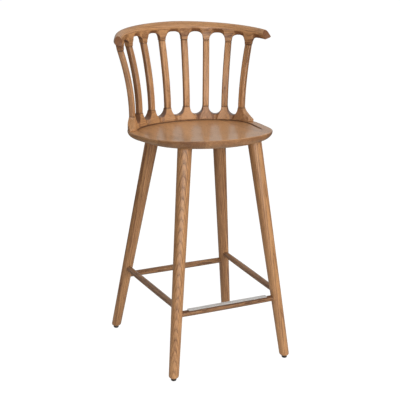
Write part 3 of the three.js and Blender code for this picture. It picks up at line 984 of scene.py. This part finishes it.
def make_stretcher(name, begin, finish, heights, material, dice):
    a, b = leg_axis(*begin, heights[0]), leg_axis(*finish, heights[1])
    length = np.linalg.norm(b - a)
    along = (b - a) / length
    side = np.cross(along, (0, 0, 1))
    side /= np.linalg.norm(side)
    up = np.cross(side, along)
    inset = leg_radius(heights[0]) - STRETCH_SINK
    heart, start = dice.uniform(30, 60), dice.uniform(0, 5000)
    facing = dice.uniform(0, 2 * math.pi)
    tone = dice.uniform(-0.05, 0.05)
    above = STRETCH_TOP_PAINTED_SHADOW if name == "front" else 0.0
    rings, grain, tones = [], [], []
    for t in np.linspace(0, 1, 120):
        bulge = 1 - (2 * t - 1) ** 2
        r = lerp(STRETCH_END_R, STRETCH_R, bulge)
        place = inset + t * (length - 2 * inset)
        ring, timber = [], []
        for turn in circle(40):
            high = math.sin(turn)
            point = a + along * place + side * r * math.cos(turn) + up * r * high
            ring.append(under_strip(name, point))
            timber.append((place + start, r * math.cos(turn - facing) + heart,
                           r * math.sin(turn - facing)))
            # painted shadow of the strip on the front one's top, and painted shade on every underside
            tones.append(tone - above * smoothstep(high, 0.35, 0.75)
                         - STRETCH_LOW_PAINTED_SHADE * smoothstep(-high, 0.2, 0.9))
        rings.append(ring)
        grain.append(timber)
    rail = loft_mesh(f"round_stretcher_{name}", rings, grain)
    store(rail, "tone", np.array(tones + [tone, tone]))
    return finish_piece(rail, material, "dark_stained_wood", f"stretcher_{name}")


# ---- footrest strip ----
def strip_place():
    y = LEGS["front"][1] + LEGS["front"][3] * FRONT_Z
    bottom = FRONT_Z + STRIP_SEAT + GAP
    return y, bottom, bottom + STRIP_THICK


def make_strip(material):
    y, bottom, top = strip_place()
    corners = [(u * STRIP_LONG / 2, v * STRIP_WIDE / 2) for u, v in ((-1, -1), (1, -1), (1, 1), (-1, 1))]
    profile = [(4, bottom), (0.5, bottom), (0, bottom + 0.5), (0, top - 0.7),
               (0.25, top - 0.25), (0.8, top), (4, top), (7, top)]
    rings = []
    for inset, z in profile:
        smaller = [(u - math.copysign(inset, u), v - math.copysign(inset, v)) for u, v in corners]
        plan = fillet(smaller, [4.5 - min(inset, 3)] * 4, 10)
        rings.append([(u, y + v, z) for u, v in plan])
    rings = np.array(rings)
    strip = loft_mesh("footrest_plate", rings, rings)
    crisp(strip, 30)
    return finish_piece(strip, material, "steel", "footrest_strip")


def make_screw(index, material):
    y, _, top = strip_place()
    screw = turned(f"plate_screw_{index + 1}", (SCREW_X[index], y, top), SCREW_PROFILE, 32)
    crisp(screw, 30)
    return finish_piece(screw, material, "steel", f"strip_screw_{index + 1}")


# ---- build ----
def build_stool():
    oak = wood("stained_wood", GOLDEN, BROWN, ring=3.4, contrast=1.4)
    leg_oak = wood("stained_wood_legs", GOLDEN, BROWN, ring=4.2, contrast=1.5, sway=3.0)
    seat_oak = wood("stained_wood_seat", PALE, BROWN, ring=3.6, contrast=0.9,
                    sway=20.0, board=112.0, polish=0.15)
    dark_oak = wood("dark_stained_wood", DULL, DARK, ring=3.2, contrast=1.6)
    metal, glide = steel("brushed_steel"), plastic("glide_plastic")
    dice = random.Random(7)
    make_seat(seat_oak)
    make_base(oak)
    make_crest(oak)
    for index in range(len(SPINDLE_TONES)):
        make_spindle(index, oak, dice)
    for row in ("front", "back"):
        for side in (-1, 1):
            make_leg(row, side, leg_oak, dice)
            make_glide(row, side, glide)
    for name, begin, finish, heights in STRETCHERS:
        make_stretcher(name, begin, finish, heights, dark_oak, dice)
    make_strip(metal)
    for index in range(len(SCREW_X)):
        make_screw(index, metal)


# ---- floor, light and camera ----
WHITE = (1, 1, 1, 1)
BRIGHT_SIDE = (0.42, 0.88, 0.2)
CAMERA_AT = (-1.3355, -2.6910 + MOVE_Y * MM, 1.3920)
CAMERA_RIGHT = (0.8984, -0.4389, 0.0142)
CAMERA_UP = (0.1129, 0.2621, 0.9584)


def floor_material():
    """White paper to the camera. The light that it bounces is dimmer, more so further out."""
    n = Nodes(bpy.data.materials.new("floor"))
    seen = n.add("ShaderNodeLightPath").outputs["Is Camera Ray"]
    spot = n.add("ShaderNodeVectorMath", operation="LENGTH")
    n.link(n.add("ShaderNodeNewGeometry").outputs["Position"], spot.inputs[0])
    near = n.map_range(spot.outputs["Value"], (0.4, 1.5), curve="SMOOTHSTEP")
    bounce = n.mix(near, (0.52, 0.51, 0.49, 1), (0.10, 0.10, 0.10, 1))
    paper = n.add("ShaderNodeBsdfDiffuse")
    n.link(n.mix(seen, bounce, (0.86, 0.86, 0.85, 1)), paper.inputs[0])
    glow = n.add("ShaderNodeEmission")
    glow.inputs[0].default_value = WHITE
    glow.inputs[1].default_value = 1.17
    mixed = n.add("ShaderNodeMixShader")
    n.link(n.math("MULTIPLY", seen, 0.8), mixed.inputs[0])
    n.link(paper.outputs[0], mixed.inputs[1])
    n.link(glow.outputs[0], mixed.inputs[2])
    n.link(mixed.outputs[0], n.add("ShaderNodeOutputMaterial").inputs[0])
    return n.owner


def make_floor():
    bm = bmesh.new()
    bmesh.ops.create_circle(bm, cap_ends=True, segments=96, radius=60)
    mesh = bpy.data.meshes.new("floor")
    bm.to_mesh(mesh)
    bm.free()
    mesh.materials.append(floor_material())
    floor = bpy.data.objects.new("floor", mesh)
    floor.location.z = -0.0004
    bpy.context.scene.collection.objects.link(floor)


def make_world():
    """A white studio, brightest behind the stool: toward the right in reflections, straight
    behind in the diffuse light."""
    world = bpy.data.worlds.new("studio")
    bpy.context.scene.world = world
    n = Nodes(world)
    direction = n.add("ShaderNodeTexCoord").outputs["Generated"]
    toward = n.add("ShaderNodeVectorMath", operation="DOT_PRODUCT")
    n.link(direction, toward.inputs[0])
    toward.inputs[1].default_value = BRIGHT_SIDE
    spread = n.map_range(toward.outputs["Value"], (-0.1, 0.7), (0.09, 0.5), "SMOOTHSTEP")
    fill = n.map_range(n.split(direction)["Y"], (0.0, 0.8), (0.36, 0.95))
    path = n.add("ShaderNodeLightPath").outputs
    inside = n.add("ShaderNodeMix", data_type="FLOAT")
    n.link(path["Is Diffuse Ray"], inside.inputs["Factor"])
    n.link(spread, inside.inputs["A"])
    n.link(fill, inside.inputs["B"])
    glow = n.add("ShaderNodeBackground")
    glow.inputs[0].default_value = WHITE
    n.link(n.math("MAXIMUM", inside.outputs[0], path["Is Camera Ray"]), glow.inputs[1])
    n.link(glow.outputs[0], n.add("ShaderNodeOutputWorld").inputs[0])


def softbox(name, place, target, width, height, power, mirrored_in_gloss=True):
    light = bpy.data.lights.new(name, "AREA")
    light.shape = "RECTANGLE"
    light.size = width
    light.size_y = height
    light.energy = power
    lamp = bpy.data.objects.new(name, light)
    lamp.location = place
    lamp.visible_glossy = mirrored_in_gloss
    lamp.rotation_euler = (Vector(target) - Vector(place)).to_track_quat("-Z", "Y").to_euler()
    bpy.context.scene.collection.objects.link(lamp)


def make_lights():
    softbox("key", (1.15, -2.4, 1.75), (0, 0.1, 0.75), 2.2, 1.9, 58, False)
    softbox("front", (-1.0, -2.9, 0.95), (0, 0, 0.5), 3.0, 1.7, 36)
    softbox("top", (0.3, 0.2, 3.2), (0, 0, 0.6), 2.2, 2.2, 5)
    softbox("left_strip", (-2.1, -1.75, 1.1), (0, 0, 0.6), 0.14, 1.8, 2.5)


def make_camera():
    lens = bpy.data.cameras.new("camera")
    lens.lens = 87.085
    lens.sensor_width = 36
    lens.clip_end = 200
    right, up = Vector(CAMERA_RIGHT), Vector(CAMERA_UP)
    turn = Matrix((right, up, right.cross(up))).transposed().to_4x4()
    camera = bpy.data.objects.new("camera", lens)
    camera.matrix_world = Matrix.Translation(CAMERA_AT) @ turn
    bpy.context.scene.collection.objects.link(camera)
    bpy.context.scene.camera = camera


build_stool()
make_floor()
make_world()
make_lights()
make_camera()
bpy.context.scene.view_settings.view_transform = "Standard"
